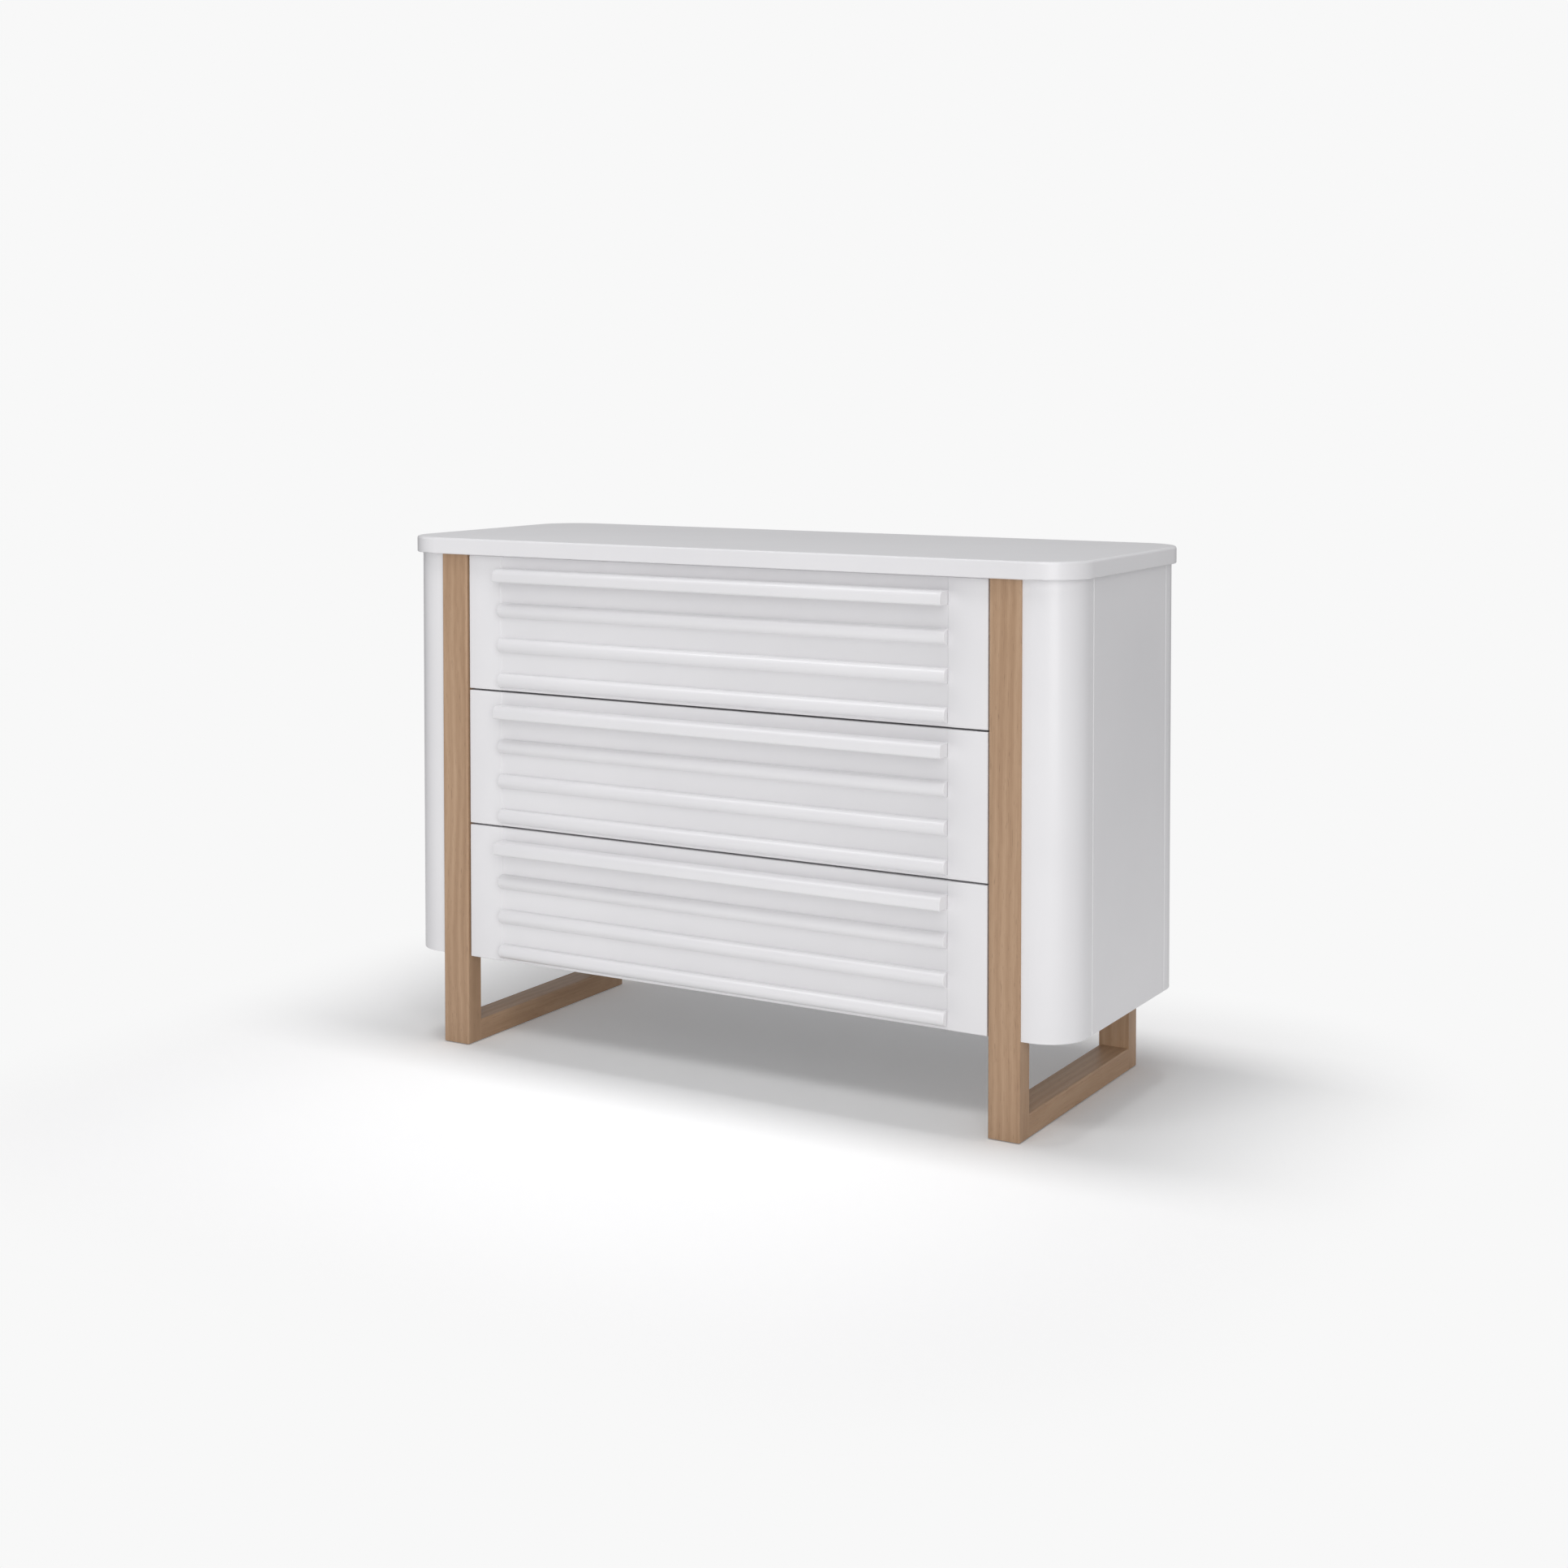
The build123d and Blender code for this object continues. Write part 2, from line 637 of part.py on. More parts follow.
cabinet_members = []
for index, drawer_name in enumerate(DRAWER_NAMES):
    base = front_base(index)
    cabinet_member = make_cabinet_member(base)
    cabinet_members += [cabinet_member, mirrored(cabinet_member, True)]
    middle_member = make_middle_member(base)
    drawer_member = make_drawer_member(base)
    save([middle_member, mirrored(middle_member, True)], f"{drawer_name}_slide_middle_members")
    save([drawer_member, mirrored(drawer_member, True)], f"{drawer_name}_slide_drawer_members")

    save(make_front(base), f"{drawer_name}_drawer_front")
    save(make_pull(base), f"{drawer_name}_drawer_pull")
    save([make_rib(z) for z in bead_heights(base)[1:]], f"{drawer_name}_drawer_ribs")
    save(make_box_front(base), f"{drawer_name}_box_front")
    save(make_box_back(base), f"{drawer_name}_box_back")
    save(make_box_bottom(base), f"{drawer_name}_box_bottom")
    save(mirrored(make_box_side(base), True), f"{drawer_name}_box_left_side")
    save(make_box_side(base), f"{drawer_name}_box_right_side")
    screw_length = BOX_WALL + FRONT_SCREW_BITE
    front_screws = [screw(place, (0, -1, 0), screw_length) for place in front_screw_places(base)]
    save(front_screws, f"{drawer_name}_front_screws")
save(cabinet_members, "slide_cabinet_members")
print("height", total_height, "depth", overall_depth)
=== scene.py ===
"""Looks of the changing table: its materials, a pale studio floor, soft light and a camera.

Everything is in metres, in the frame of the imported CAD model: +Z up, drawers open towards -Y.
"""
import json
import math

import bmesh
import bpy
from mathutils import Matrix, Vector


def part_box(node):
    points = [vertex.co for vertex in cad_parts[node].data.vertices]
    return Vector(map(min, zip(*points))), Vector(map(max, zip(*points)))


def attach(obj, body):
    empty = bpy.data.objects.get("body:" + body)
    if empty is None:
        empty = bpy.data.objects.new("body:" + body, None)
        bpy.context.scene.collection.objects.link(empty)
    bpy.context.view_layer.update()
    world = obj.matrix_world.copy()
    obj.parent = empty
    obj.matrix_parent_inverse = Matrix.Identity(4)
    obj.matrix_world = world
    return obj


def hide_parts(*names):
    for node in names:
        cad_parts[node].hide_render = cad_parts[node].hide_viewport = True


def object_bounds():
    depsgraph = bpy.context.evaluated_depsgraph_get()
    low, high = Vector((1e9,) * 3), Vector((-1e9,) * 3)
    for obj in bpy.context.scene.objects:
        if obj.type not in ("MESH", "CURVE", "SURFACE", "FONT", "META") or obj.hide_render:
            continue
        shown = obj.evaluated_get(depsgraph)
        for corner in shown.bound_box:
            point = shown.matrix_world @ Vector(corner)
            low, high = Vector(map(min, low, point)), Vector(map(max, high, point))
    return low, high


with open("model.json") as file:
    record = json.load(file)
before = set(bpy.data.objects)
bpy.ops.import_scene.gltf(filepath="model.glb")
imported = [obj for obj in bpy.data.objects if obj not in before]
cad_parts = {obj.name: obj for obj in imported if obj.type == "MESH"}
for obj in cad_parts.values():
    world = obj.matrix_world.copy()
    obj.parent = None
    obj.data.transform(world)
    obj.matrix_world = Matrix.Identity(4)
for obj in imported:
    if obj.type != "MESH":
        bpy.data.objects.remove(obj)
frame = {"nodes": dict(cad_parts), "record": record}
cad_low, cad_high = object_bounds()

# ------------------------------------------------------------------ camera and stage
CAMERA_PLACE = Vector((1.9695, -3.3568, 1.1323))
CAMERA_TURN = math.radians(30.343)      # to the left of straight on
CAMERA_TILT = math.radians(-2.0)        # a little downwards
CAMERA_LENS_MM = 52.77
CAMERA_SENSOR_MM = 36.0
CAMERA_SHIFT = -0.1993                  # as a share of the picture's width

BACKDROP = (0.939, 0.939, 0.939)        # what the camera sees beyond the shaded stretch of floor
SKY_LIGHT = (0.230, 0.230, 0.236)       # what the object gets from all round
FLOOR_SIZE = 30.0
FLOOR_GAIN = 0.99                       # how strongly the picture shows the light on the floor
FLOOR_GLOW = 0.12                       # a little more brightness, which casts no light
FLOOR_BOUNCE = 0.90                     # the share of its light that the floor sends up to the object
BOUNCE_GLOW = 0.36                      # and the light that its front stretch sends up by itself,
GLOW_NEAR = -0.60                       # from this Y on
GLOW_FULL = -1.20                       # and in full from this one

SHADED_LOW = (-0.60, -0.75)             # the stretch of floor that keeps its shadows, drawers out or in
SHADED_HIGH = (0.60, 0.22)
SHADE_FADE = (0.08, 0.55)               # how far outside it they start to fade, and where they end

# ------------------------------------------------------------------ colours, in linear light
LACQUER_DARK = (0.784, 0.776, 0.790)
LACQUER_LIGHT = (0.819, 0.811, 0.823)
# painted highlight: the brighter white that the lacquer's sharp edges are lightened towards
LACQUER_EDGE_HIGHLIGHT = (0.86, 0.86, 0.86)
TIMBER_DARK = (0.335, 0.202, 0.116)
TIMBER_MIDDLE = (0.430, 0.275, 0.168)
TIMBER_LIGHT = (0.520, 0.352, 0.228)
TIMBER_PORE = (0.215, 0.125, 0.072)
TIMBER_WORN = (0.60, 0.43, 0.30)
WHITE_BOARD_DARK = (0.71, 0.71, 0.715)
WHITE_BOARD_LIGHT = (0.76, 0.76, 0.76)
DRAWER_BOARD_DARK = (0.68, 0.67, 0.65)
DRAWER_BOARD_LIGHT = (0.74, 0.73, 0.71)
ZINC = (0.64, 0.64, 0.625)
NYLON_DARK = (0.50, 0.47, 0.42)
NYLON_LIGHT = (0.58, 0.55, 0.50)

# ------------------------------------------------------------------ material building blocks
NOISE_SPAN = (0.3, 0.7)                 # nearly all of a noise's values lie between these
TIMBER_SPAN = (0.24, 0.62)              # and these are the ends of the timber's tone
MIX_AMOUNT, MIX_FIRST, MIX_SECOND = 0, 6, 7     # input sockets of a Mix node that mixes colours
MIX_RESULT = 2


def add_node(tree, kind, inputs=None, **settings):
    """A shader node with its settings and its inputs, each a value or another node's output."""
    node = tree.nodes.new(kind)
    for key, value in settings.items():
        setattr(node, key, value)
    for key, value in (inputs or {}).items():
        if isinstance(value, bpy.types.NodeSocket):
            tree.links.new(value, node.inputs[key])
        else:
            node.inputs[key].default_value = value
    return node


def new_material(name):
    material = bpy.data.materials.new(name)
    material.use_nodes = True
    tree = material.node_tree
    return material, tree, tree.nodes["Principled BSDF"]


def object_point(tree):
    return add_node(tree, "ShaderNodeTexCoord").outputs["Object"]


def stretched(tree, point, scale, turn=(0.0, 0.0, 0.0), offset=(0.0, 0.0, 0.0)):
    inputs = {"Vector": point, "Scale": scale, "Rotation": turn, "Location": offset}
    return add_node(tree, "ShaderNodeMapping", inputs).outputs["Vector"]


def noise(tree, point, scale=1.0, detail=2.0, roughness=0.5, output="Fac"):
    inputs = {"Vector": point, "Scale": scale, "Detail": detail, "Roughness": roughness}
    return add_node(tree, "ShaderNodeTexNoise", inputs).outputs[output]


def grain_noise(tree, point, across, along, **settings):
    """Noise drawn out along Z, with so many cells to the metre across the grain and along it."""
    return noise(tree, stretched(tree, point, (across, across, along)), **settings)


def remap(tree, value, span, result):
    """The value, carried from one (low, high) pair to another and held there."""
    inputs = {
        "Value": value,
        "From Min": span[0],
        "From Max": span[1],
        "To Min": result[0],
        "To Max": result[1],
    }
    return add_node(tree, "ShaderNodeMapRange", inputs).outputs["Result"]


def opaque(colour):
    """A fixed colour as a socket takes it; another node's output stays as it is."""
    return colour if isinstance(colour, bpy.types.NodeSocket) else (*colour, 1.0)


def grey(level):
    return (level, level, level, 1.0)


def colour_between(tree, value, span, *colours):
    """A ramp that spreads the colours evenly over a span of the value."""
    node = add_node(tree, "ShaderNodeValToRGB", {"Fac": value})
    ramp = node.color_ramp
    while len(ramp.elements) < len(colours):
        ramp.elements.new(0.5)
    step = (span[1] - span[0]) / (len(colours) - 1)
    for index, colour in enumerate(colours):
        ramp.elements[index].position = span[0] + step * index
        ramp.elements[index].color = opaque(colour)
    return node.outputs["Color"]


def mixed(tree, amount, first, second, blend="MIX"):
    inputs = {MIX_AMOUNT: amount, MIX_FIRST: opaque(first), MIX_SECOND: opaque(second)}
    node = add_node(tree, "ShaderNodeMix", inputs, data_type="RGBA", blend_type=blend)
    return node.outputs[MIX_RESULT]


def maths(tree, operation, first, second):
    return add_node(tree, "ShaderNodeMath", {0: first, 1: second}, operation=operation).outputs[0]


def vector_maths(tree, operation, first, second=None, output="Vector"):
    inputs = {0: first} if second is None else {0: first, 1: second}
    return add_node(tree, "ShaderNodeVectorMath", inputs, operation=operation).outputs[output]


def bump(tree, height, distance, normal=None):
    inputs = {"Height": height, "Distance": distance, "Strength": 1.0}
    if normal is not None:
        inputs["Normal"] = normal
    return add_node(tree, "ShaderNodeBump", inputs).outputs["Normal"]


def edge_wear_and_highlight(tree, radius, most):
    """How far an edge is lightened, as wear on timber and as painted highlight on lacquer: `most` at a
    sharp edge, nothing on a flat face.
    """
    rounded = add_node(tree, "ShaderNodeBevel", {"Radius": radius}, samples=4).outputs["Normal"]
    true = add_node(tree, "ShaderNodeNewGeometry").outputs["True Normal"]
    likeness = vector_maths(tree, "DOT_PRODUCT", rounded, true, output="Value")
    sharpness = remap(tree, likeness, (0.72, 0.98), (1.0, 0.0))
    return maths(tree, "MULTIPLY", sharpness, most)


def finish_shader(tree, shader, colour, roughness, normal, **fixed):
    tree.links.new(colour, shader.inputs["Base Color"])
    tree.links.new(roughness, shader.inputs["Roughness"])
    tree.links.new(normal, shader.inputs["Normal"])
    for name, value in fixed.items():
        shader.inputs[name.replace("_", " ")].default_value = value


# ------------------------------------------------------------------ materials
def make_lacquer():
    """Satin white lacquer: a faint orange peel, cloudy tone, and a painted highlight along the edges."""
    material, tree, shader = new_material("white_lacquer")
    point = object_point(tree)
    clouds = noise(tree, point, scale=3.0, detail=4.0, roughness=0.55)
    colour = colour_between(tree, clouds, NOISE_SPAN, LACQUER_DARK, LACQUER_LIGHT)
    # painted highlight: sharp edges of the lacquer lightened towards a brighter white
    colour = mixed(tree, edge_wear_and_highlight(tree, radius=0.0012, most=0.35), colour, LACQUER_EDGE_HIGHLIGHT)
    smears = noise(tree, stretched(tree, point, (1.0, 1.0, 0.35)), scale=14.0, detail=1.5)
    roughness = remap(tree, smears, (0.0, 1.0), (0.27, 0.37))
    ripple = noise(tree, point, scale=55.0, detail=1.0)
    peel = noise(tree, point, scale=420.0, roughness=0.55)
    normal = bump(tree, ripple, distance=0.000006)
    normal = bump(tree, peel, distance=0.000006, normal=normal)
    finish_shader(tree, shader, colour, roughness, normal, IOR=1.52, Coat_Weight=0.35, Coat_Roughness=0.2)
    return material


def make_timber(name, turn, offset):
    """Clear-coated straight-grained hardwood; the turn lays the grain along its axis."""
    material, tree, shader = new_material(name)
    point = stretched(tree, object_point(tree), (1.0, 1.0, 1.0), turn, offset)
    wander = grain_noise(tree, point, across=5.0, along=1.6, output="Color")
    wander = vector_maths(tree, "MULTIPLY", wander, (0.034, 0.034, 0.0))
    point = vector_maths(tree, "ADD", point, wander)
    rings = add_node(
        tree,
        "ShaderNodeTexWave",
        {"Vector": point, "Scale": 21.0, "Distortion": 2.4, "Detail": 2.0, "Detail Scale": 0.8},
        wave_type="RINGS",
        rings_direction="Z",
        wave_profile="SIN",
    ).outputs["Fac"]
    bands = grain_noise(tree, point, across=34.0, along=1.1)
    streaks = grain_noise(tree, point, across=190.0, along=2.6, detail=3.0, roughness=0.55)
    fibres = grain_noise(tree, point, across=900.0, along=14.0, roughness=0.6)
    pores = grain_noise(tree, point, across=820.0, along=52.0, detail=1.0, roughness=0.4)
    tone = maths(tree, "MULTIPLY", rings, 0.10)
    for layer, share in ((bands, 0.30), (streaks, 0.22), (fibres, 0.24)):
        tone = maths(tree, "ADD", tone, maths(tree, "MULTIPLY", layer, share))
    colour = colour_between(tree, tone, TIMBER_SPAN, TIMBER_DARK, TIMBER_MIDDLE, TIMBER_LIGHT)
    pore_mask = remap(tree, pores, (0.67, 0.76), (0.0, 0.55))
    colour = mixed(tree, pore_mask, colour, TIMBER_PORE)
    colour = mixed(tree, edge_wear_and_highlight(tree, radius=0.0015, most=0.25), colour, TIMBER_WORN)
    roughness = remap(tree, streaks, NOISE_SPAN, (0.40, 0.54))
    normal = bump(tree, maths(tree, "SUBTRACT", fibres, pore_mask), distance=0.00007)
    finish_shader(tree, shader, colour, roughness, normal, IOR=1.47, Coat_Weight=0.08, Coat_Roughness=0.35)
    return material


def make_board(name, dark, light, texture):
    """Foil or melamine faced board with a fine pressed texture, given as its scale along X, Y and Z."""
    material, tree, shader = new_material(name)
    point = object_point(tree)
    clouds = noise(tree, point, scale=5.0, detail=3.0)
    colour = colour_between(tree, clouds, NOISE_SPAN, dark, light)
    pressed = noise(tree, stretched(tree, point, texture), roughness=0.6)
    roughness = remap(tree, pressed, NOISE_SPAN, (0.48, 0.62))
    normal = bump(tree, pressed, distance=0.00006)
    finish_shader(tree, shader, colour, roughness, normal, IOR=1.46)
    return material


def make_steel():
    """Bright zinc plate on strip that was rolled along Y."""
    material, tree, shader = new_material("zinc_steel")
    point = object_point(tree)
    rolled = noise(tree, stretched(tree, point, (900.0, 12.0, 900.0)))
    spangle = add_node(tree, "ShaderNodeTexVoronoi", {"Vector": point, "Scale": 260.0}).outputs["Color"]
    colour = mixed(tree, 0.10, ZINC, spangle, blend="OVERLAY")
    roughness = remap(tree, rolled, NOISE_SPAN, (0.24, 0.40))
    normal = bump(tree, rolled, distance=0.00003)
    finish_shader(tree, shader, colour, roughness, normal, Metallic=1.0)
    return material


def make_nylon():
    """Moulded nylon with a fine matt grain."""
    material, tree, shader = new_material("nylon")
    point = object_point(tree)
    clouds = noise(tree, point, scale=60.0)
    colour = colour_between(tree, clouds, NOISE_SPAN, NYLON_DARK, NYLON_LIGHT)
    grain = noise(tree, point, scale=1800.0, detail=1.0)
    roughness = remap(tree, grain, NOISE_SPAN, (0.45, 0.60))
    normal = bump(tree, grain, distance=0.00003)
    finish_shader(tree, shader, colour, roughness, normal, IOR=1.53)
    return material


ALONG_Z = (0.0, 0.0, 0.0)               # turns that lay the grain along an axis
ALONG_Y = (math.pi / 2, 0.0, 0.0)
EVEN_TEXTURE = (700.0, 700.0, 700.0)
TEXTURE_ALONG_Y = (900.0, 180.0, 900.0)

materials = {
    "white_lacquer": make_lacquer(),
    "leg_timber": make_timber("post_timber", ALONG_Z, offset=(0.13, 0.09, 0.0)),
    "rail_timber": make_timber("rail_timber", ALONG_Y, offset=(0.07, 0.11, 0.31)),
    "dowel_beech": make_timber("dowel_beech", ALONG_Y, offset=(0.02, 0.05, 0.0)),
    "white_board": make_board("white_board", WHITE_BOARD_DARK, WHITE_BOARD_LIGHT, EVEN_TEXTURE),
    "drawer_board": make_board("drawer_board", DRAWER_BOARD_DARK, DRAWER_BOARD_LIGHT, TEXTURE_ALONG_Y),
    "zinc_steel": make_steel(),
    "nylon": make_nylon(),
}


def dress_nodes():
    """Every CAD node gets the material of its slot; the foot rails have their grain along Y."""
    slots = {entry["node"]: entry["material_slot"] for entry in frame["record"]["subparts"]}
    for name, node in frame["nodes"].items():
        key = "rail_timber" if name.endswith("foot_rail") else slots[name]
        node.data.materials.clear()
        node.data.materials.append(materials[key])


# ------------------------------------------------------------------ drawer fronts
DRAWERS = ("bottom", "middle", "top")
FRONT_ROUND = 0.002                     # the front's long edges
FRONT_END_ROUND = 0.0012                # and its upright ones
FIELD_WALL = 0.0012                     # width of the soft step into the field
BEAD_HEIGHT = 0.024
BEAD_COUNT = 3
PULL_NOSE = 0.010
PULL_UNDER = 0.004
END_ROUND = 0.0012                      # the ends of the pull and the beads
ROOT_COVE = 0.0018                      # lacquer drawn into the corner under each bead
TOP_COVE = 0.0006                       # and above it, where it drains away
ROOT_DEPTH = 0.0002                     # how far a bead is let into the field
ARC_STEPS = 8
SMOOTH_ANGLE = math.radians(32.0)


def arc(y, z, radius, start, stop, steps=ARC_STEPS):
    """Points (y, z) round a centre, from one angle to another in degrees."""
    points = []
    for index in range(steps + 1):
        angle = math.radians(start + (stop - start) * index / steps)
        points.append((y + radius * math.cos(angle), z + radius * math.sin(angle)))
    return points


def cove(seat, z, way):
    """The hollow of lacquer at a root: above the bead with way 1, and below it with way -1."""
    radius = TOP_COVE if way > 0 else ROOT_COVE
    points = arc(seat - radius, z + way * radius, radius, -90 * way, 0, ARC_STEPS // 2)
    return points if way > 0 else points[::-1]


def rounded_run(low, high, radius, between=()):
    """Stations (x, inset) from low to high whose inset rounds both ends off."""
    steps = ARC_STEPS // 2
    ends = []
    for index in range(steps + 1):
        angle = math.pi / 2 * index / steps
        ends.append((radius * (1 - math.cos(angle)), radius * (1 - math.sin(angle))))
    near = [(low + along, inset) for along, inset in ends]
    far = [(high - along, inset) for along, inset in reversed(ends)]
    return near + [(x, 0.0) for x in between] + far


def loft(form, stations, section):
    """A closed solid along X whose section, a closed list of (y, z), is worked out at each station."""
    rings = [[form.verts.new((x, y, z)) for y, z in section(x, inset)] for x, inset in stations]
    count = len(rings[0])
    for here, following in zip(rings, rings[1:]):
        for index in range(count):
            after = (index + 1) % count
            form.faces.new((here[index], here[after], following[after], following[index]))
    form.faces.new(rings[0][::-1])
    form.faces.new(rings[-1])


def make_piece(drawer, kind, form, replaced):
    """A lacquered mesh that rides on a drawer in place of one of its CAD nodes."""
    bmesh.ops.recalc_face_normals(form, faces=form.faces)
    mesh = bpy.data.meshes.new(f"{drawer}_{kind}")
    form.to_mesh(mesh)
    form.free()
    mesh.shade_smooth()
    mesh.set_sharp_from_angle(angle=SMOOTH_ANGLE)
    mesh.materials.append(materials["white_lacquer"])
    piece = bpy.data.objects.new(f"{drawer}_{kind}", mesh)
    bpy.context.scene.collection.objects.link(piece)
    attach(piece, f"{drawer}_drawer")
    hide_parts(f"{drawer}_{replaced}")


def make_front(drawer):
    """The front board: eased edges, and a field between its margins with softly lacquered walls."""
    low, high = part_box(f"{drawer}_drawer_front")
    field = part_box(f"{drawer}_drawer_pull")[1]
    recess = field.y - low.y

    def depth_at(x):
        """The full recess in the field, easing smoothly to nothing across its wall."""
        across = min(1.0, max(0.0, (abs(x) - field.x) / FIELD_WALL))
        return recess * (1 - across * across * (3 - 2 * across))

    def section(x, inset):
        face = low.y + depth_at(x) + inset
        points = [(high.y, low.z)]
        points += arc(face + FRONT_ROUND, low.z + FRONT_ROUND, FRONT_ROUND, -90, -180)
        points += arc(face + FRONT_ROUND, high.z - FRONT_ROUND, FRONT_ROUND, 180, 90)
        return points + [(high.y, high.z)]

    wall = [field.x + FIELD_WALL * index / ARC_STEPS for index in range(ARC_STEPS + 1)]
    between = [-x for x in reversed(wall)] + wall
    form = bmesh.new()
    loft(form, rounded_run(low.x, high.x, FRONT_END_ROUND, between), section)
    make_piece(drawer, "front_board", form, "drawer_front")


def make_pull(drawer):
    """The grip: a bar with a full round nose above and a small round below."""
    low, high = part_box(f"{drawer}_drawer_pull")
    seat = high.y

    def section(x, inset):
        bottom = low.z + inset
        top = high.z - inset
        face = low.y + inset
        under = PULL_UNDER - inset
        nose = PULL_NOSE - inset
        points = [(seat + ROOT_DEPTH, bottom - ROOT_COVE)]
        points += cove(seat, bottom, -1)
        points += arc(face + under, bottom + under, under, -90, -180)
        points += arc(face + nose, top - nose, nose, 180, 90, 2 * ARC_STEPS)
        points += cove(seat, top, 1)
        return points + [(seat + ROOT_DEPTH, top + TOP_COVE)]

    form = bmesh.new()
    loft(form, rounded_run(low.x, high.x, END_ROUND), section)
    make_piece(drawer, "grip_bar", form, "drawer_pull")


def add_bead(form, low, high, centre):
    """One half-round bead at a height, drawn softly into the field."""
    seat = high.y
    radius = BEAD_HEIGHT / 2

    def section(x, inset):
        bottom = centre - radius + inset
        top = centre + radius - inset
        points = [(seat + ROOT_DEPTH, bottom - ROOT_COVE)]
        points += cove(seat, bottom, -1)
        points += arc(low.y + radius, centre, radius - inset, -90, -270, 4 * ARC_STEPS)
        points += cove(seat, top, 1)
        return points + [(seat + ROOT_DEPTH, top + TOP_COVE)]

    loft(form, rounded_run(low.x, high.x, END_ROUND), section)


def make_beads(drawer):
    """The beads under the pull, evenly spaced."""
    low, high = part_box(f"{drawer}_drawer_ribs")
    pitch = (high.z - low.z - BEAD_HEIGHT) / (BEAD_COUNT - 1)
    form = bmesh.new()
    for index in range(BEAD_COUNT):
        add_bead(form, low, high, low.z + BEAD_HEIGHT / 2 + pitch * index)
    make_piece(drawer, "beads", form, "drawer_ribs")


# ------------------------------------------------------------------ floor and backdrop
def added_shader(tree, first, second):
    return add_node(tree, "ShaderNodeAddShader", {0: first, 1: second}).outputs[0]


def mixed_shader(tree, amount, first, second):
    return add_node(tree, "ShaderNodeMixShader", {0: amount, 1: first, 2: second}).outputs[0]


def emission(tree, colour, strength=1.0):
    return add_node(tree, "ShaderNodeEmission", {"Color": colour, "Strength": strength}).outputs[0]


def diffuse(tree, colour, **inputs):
    return add_node(tree, "ShaderNodeBsdfDiffuse", {"Color": colour, **inputs}).outputs[0]


def is_camera_ray(tree):
    return add_node(tree, "ShaderNodeLightPath").outputs["Is Camera Ray"]


def outside_shaded(tree, point):
    """0 in the stretch of floor that keeps its shadows, rising smoothly to 1 outside it."""
    centre = ((SHADED_LOW[0] + SHADED_HIGH[0]) / 2, (SHADED_LOW[1] + SHADED_HIGH[1]) / 2, 0.0)
    reach = ((SHADED_HIGH[0] - SHADED_LOW[0]) / 2, (SHADED_HIGH[1] - SHADED_LOW[1]) / 2, 0.0)
    aside = vector_maths(tree, "ABSOLUTE", vector_maths(tree, "SUBTRACT", point, centre))
    beyond = vector_maths(tree, "MAXIMUM", vector_maths(tree, "SUBTRACT", aside, reach), (0.0, 0.0, 0.0))
    distance = vector_maths(tree, "LENGTH", beyond, output="Value")
    inputs = {"Value": distance, "From Min": SHADE_FADE[0], "From Max": SHADE_FADE[1]}
    return add_node(tree, "ShaderNodeMapRange", inputs, interpolation_type="SMOOTHSTEP").outputs["Result"]


def floor_for_camera(tree, point):
    """Shadows near the object that melt into the backdrop's even tone further out."""
    grain = noise(tree, point, scale=160.0)
    lit = diffuse(tree, grey(FLOOR_GAIN), Normal=bump(tree, grain, distance=0.00005))
    near = added_shader(tree, lit, emission(tree, grey(FLOOR_GLOW)))
    return mixed_shader(tree, outside_shaded(tree, point), near, emission(tree, opaque(BACKDROP)))


def floor_for_object(tree, point):
    """The light that the floor sends up: what it gets, and a glow of its own from its front stretch."""
    ahead = add_node(tree, "ShaderNodeSeparateXYZ", {0: point}).outputs["Y"]
    strength = remap(tree, ahead, (GLOW_NEAR, GLOW_FULL), (0.0, 1.0))
    glow = emission(tree, grey(BOUNCE_GLOW), strength)
    return added_shader(tree, diffuse(tree, grey(FLOOR_BOUNCE)), glow)


def make_floor_material():
    material, tree, shader = new_material("studio_floor")
    tree.nodes.remove(shader)
    point = object_point(tree)
    seen = floor_for_camera(tree, point)
    bounced = floor_for_object(tree, point)
    whole = mixed_shader(tree, is_camera_ray(tree), bounced, seen)
    tree.links.new(whole, tree.nodes["Material Output"].inputs["Surface"])
    return material


def make_floor():
    mesh = bpy.data.meshes.new("floor")
    reach = FLOOR_SIZE / 2
    corners = [(-reach, -reach, 0), (reach, -reach, 0), (reach, reach, 0), (-reach, reach, 0)]
    mesh.from_pydata(corners, [], [(0, 1, 2, 3)])
    mesh.materials.append(make_floor_material())
    floor = bpy.data.objects.new("floor", mesh)
    bpy.context.scene.collection.objects.link(floor)
    return floor


def make_backdrop():
    """A world that the camera sees as the backdrop and the object as dim light from all round."""
    world = bpy.data.worlds.new("studio")
    bpy.context.scene.world = world
    world.use_nodes = True
    tree = world.node_tree
    light = tree.nodes["Background"]
    light.inputs["Color"].default_value = opaque(SKY_LIGHT)
    seen = add_node(tree, "ShaderNodeBackground", {"Color": opaque(BACKDROP)})
    whole = mixed_shader(tree, is_camera_ray(tree), light.outputs[0], seen.outputs[0])
    tree.links.new(whole, tree.nodes["World Output"].inputs["Surface"])


# ------------------------------------------------------------------ lamps
OBJECT_MIDDLE = (cad_low + cad_high) / 2
PURE_WHITE = (1.0, 1.0, 1.0)
COOL_WHITE = (0.985, 0.985, 1.0)


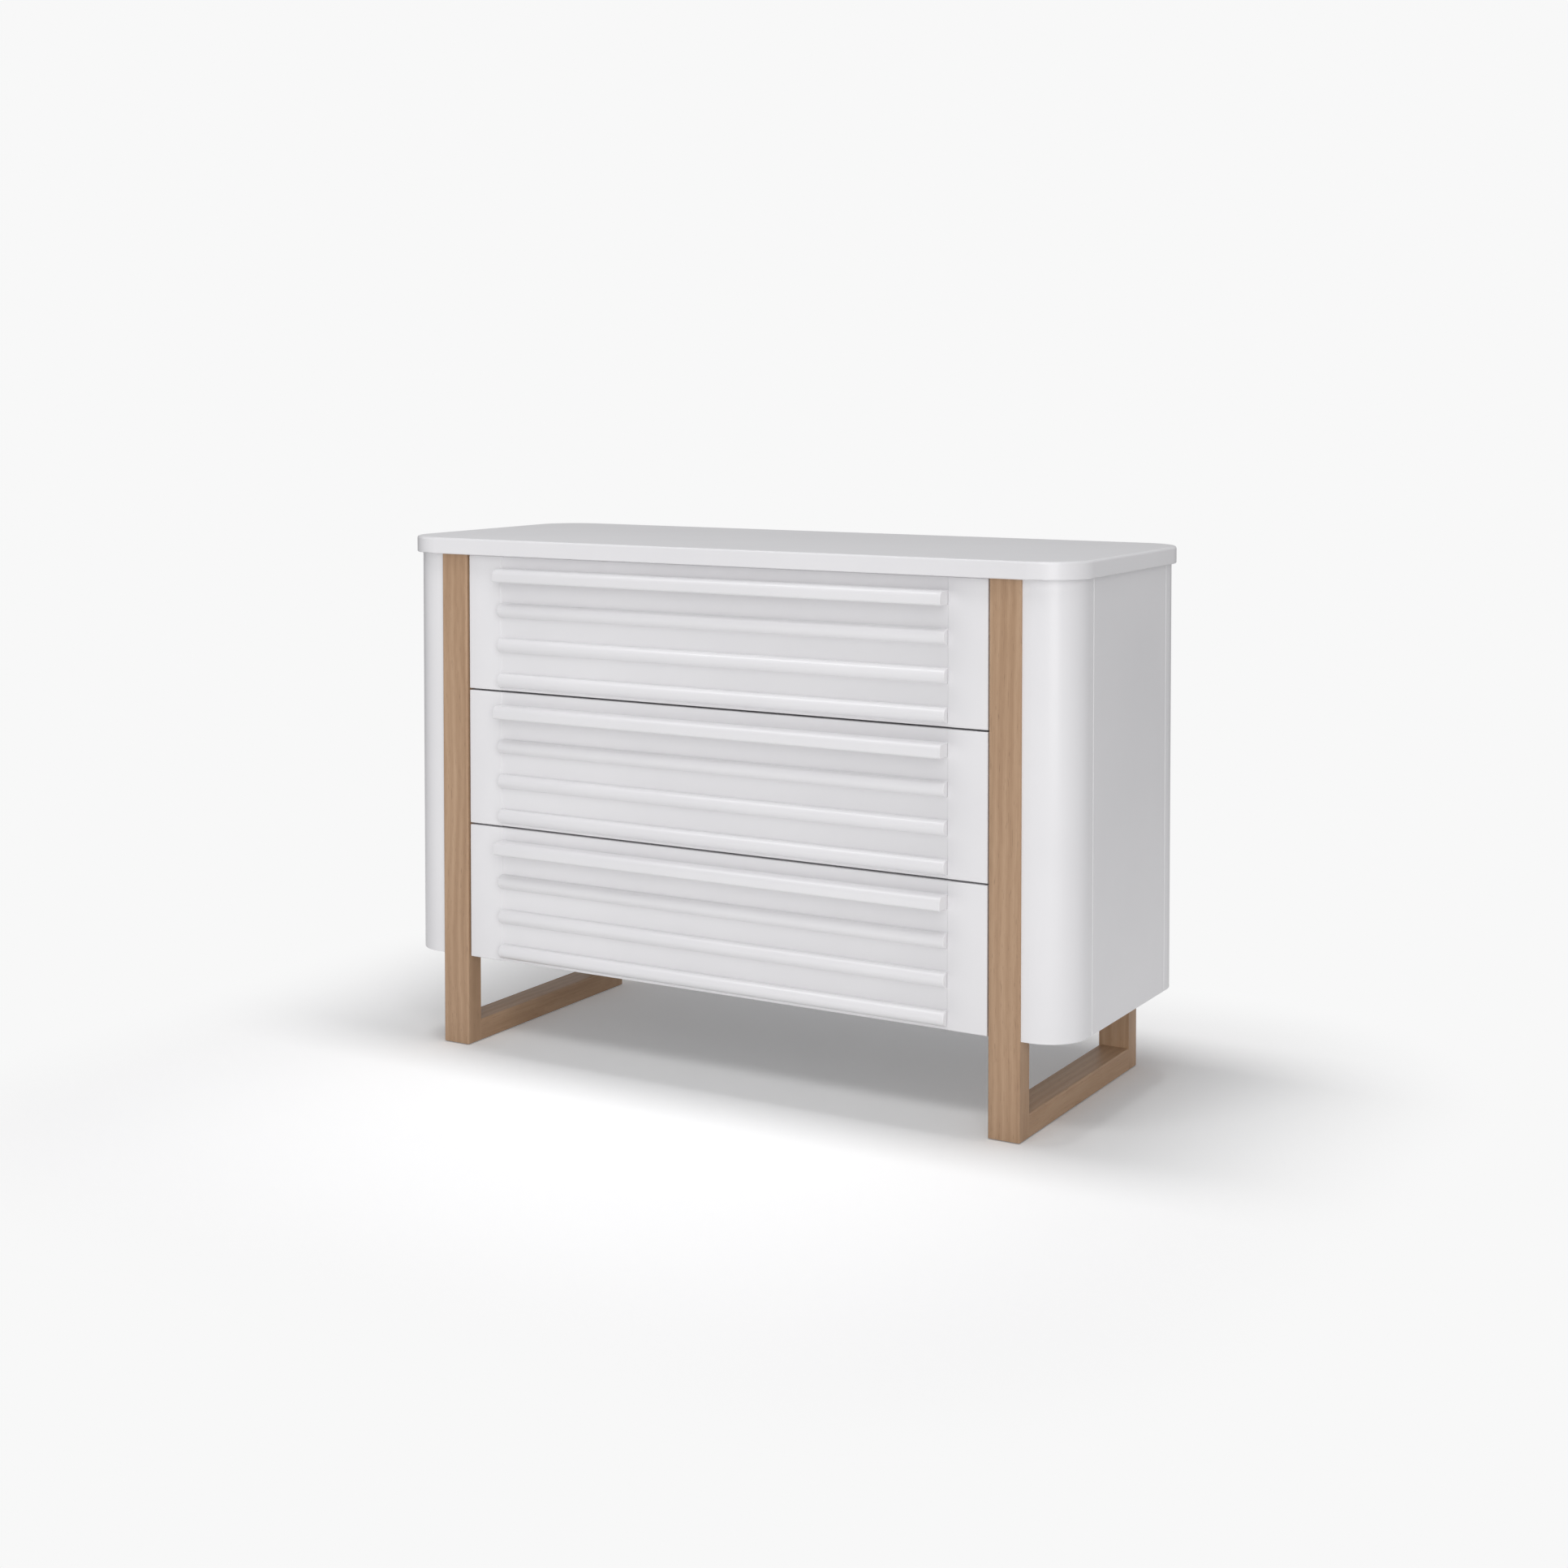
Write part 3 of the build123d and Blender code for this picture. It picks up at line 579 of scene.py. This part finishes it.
def add_softbox(name, place, size, power, colour=PURE_WHITE, tilt=None):
    """A rectangular lamp, placed from the middle of the object. It faces that middle,
    or with a tilt it faces straight down, turned so many degrees about X."""
    data = bpy.data.lights.new(name, "AREA")
    data.shape = "RECTANGLE"
    data.size, data.size_y = size
    data.energy = power
    data.color = colour
    lamp = bpy.data.objects.new(name, data)
    lamp.location = OBJECT_MIDDLE + Vector(place)
    if tilt is None:
        lamp.rotation_euler = (-Vector(place)).to_track_quat("-Z", "Y").to_euler()
    else:
        lamp.rotation_euler = (math.radians(tilt), 0.0, 0.0)
    bpy.context.scene.collection.objects.link(lamp)
    return lamp


def add_sun(name, towards, strength, spread, mirrored=True):
    """Even light in one direction over the whole object, with soft shadows."""
    data = bpy.data.lights.new(name, "SUN")
    data.energy = strength
    data.angle = math.radians(spread)
    lamp = bpy.data.objects.new(name, data)
    lamp.rotation_euler = Vector(towards).to_track_quat("-Z", "Y").to_euler()
    lamp.visible_glossy = mirrored
    bpy.context.scene.collection.objects.link(lamp)
    return lamp


def limit_light(lamp, floor, state):
    """INCLUDE lets a lamp light the floor alone, EXCLUDE everything but the floor."""
    receivers = bpy.data.collections.new(f"{lamp.name}_receivers")
    receivers.objects.link(floor)
    receivers.collection_objects[0].light_linking.link_state = state
    lamp.light_linking.receiver_collection = receivers


def light_studio(floor):
    """Lamps for the object and others for the floor, so that a white floor needs no glare on the object."""
    for_object = (
        add_sun("key", towards=(-0.53, 0.79, -0.42), strength=1.38, spread=56.0),
        add_sun("rear_fill", towards=(0.05, -0.87, -0.45), strength=0.43, spread=90.0),
        add_sun("back_wash", towards=(-0.08, -0.99, -0.12), strength=0.80, spread=50.0, mirrored=False),
        add_softbox("side_fill", place=(3.2, -3.2, -0.1), size=(1.6, 1.6), power=12.5),
        add_softbox("overhead", (-0.35, -1.0, 2.75), (3.8, 0.9), power=39.0, colour=COOL_WHITE, tilt=-20.0),
    )
    for_floor = (
        add_softbox("floor_strip", place=(-0.15, -0.08, 2.8), size=(2.3, 0.5), power=46.0, tilt=0.0),
        add_softbox("floor_front", place=(0.5, -2.2, 2.4), size=(3.2, 0.6), power=30.0),
    )
    for lamp in for_object:
        limit_light(lamp, floor, "EXCLUDE")
    for lamp in for_floor:
        limit_light(lamp, floor, "INCLUDE")


# ------------------------------------------------------------------ camera
def make_camera():
    data = bpy.data.cameras.new("camera")
    data.lens = CAMERA_LENS_MM
    data.sensor_width = CAMERA_SENSOR_MM
    data.shift_y = CAMERA_SHIFT
    camera = bpy.data.objects.new("camera", data)
    camera.location = CAMERA_PLACE
    camera.rotation_euler = (math.pi / 2 + CAMERA_TILT, 0.0, CAMERA_TURN)
    bpy.context.scene.collection.objects.link(camera)
    bpy.context.scene.camera = camera


# ------------------------------------------------------------------ the whole scene
dress_nodes()
for drawer in DRAWERS:
    make_front(drawer)
    make_pull(drawer)
    make_beads(drawer)
floor = make_floor()
make_backdrop()
light_studio(floor)
make_camera()
bpy.context.scene.view_settings.view_transform = "Standard"
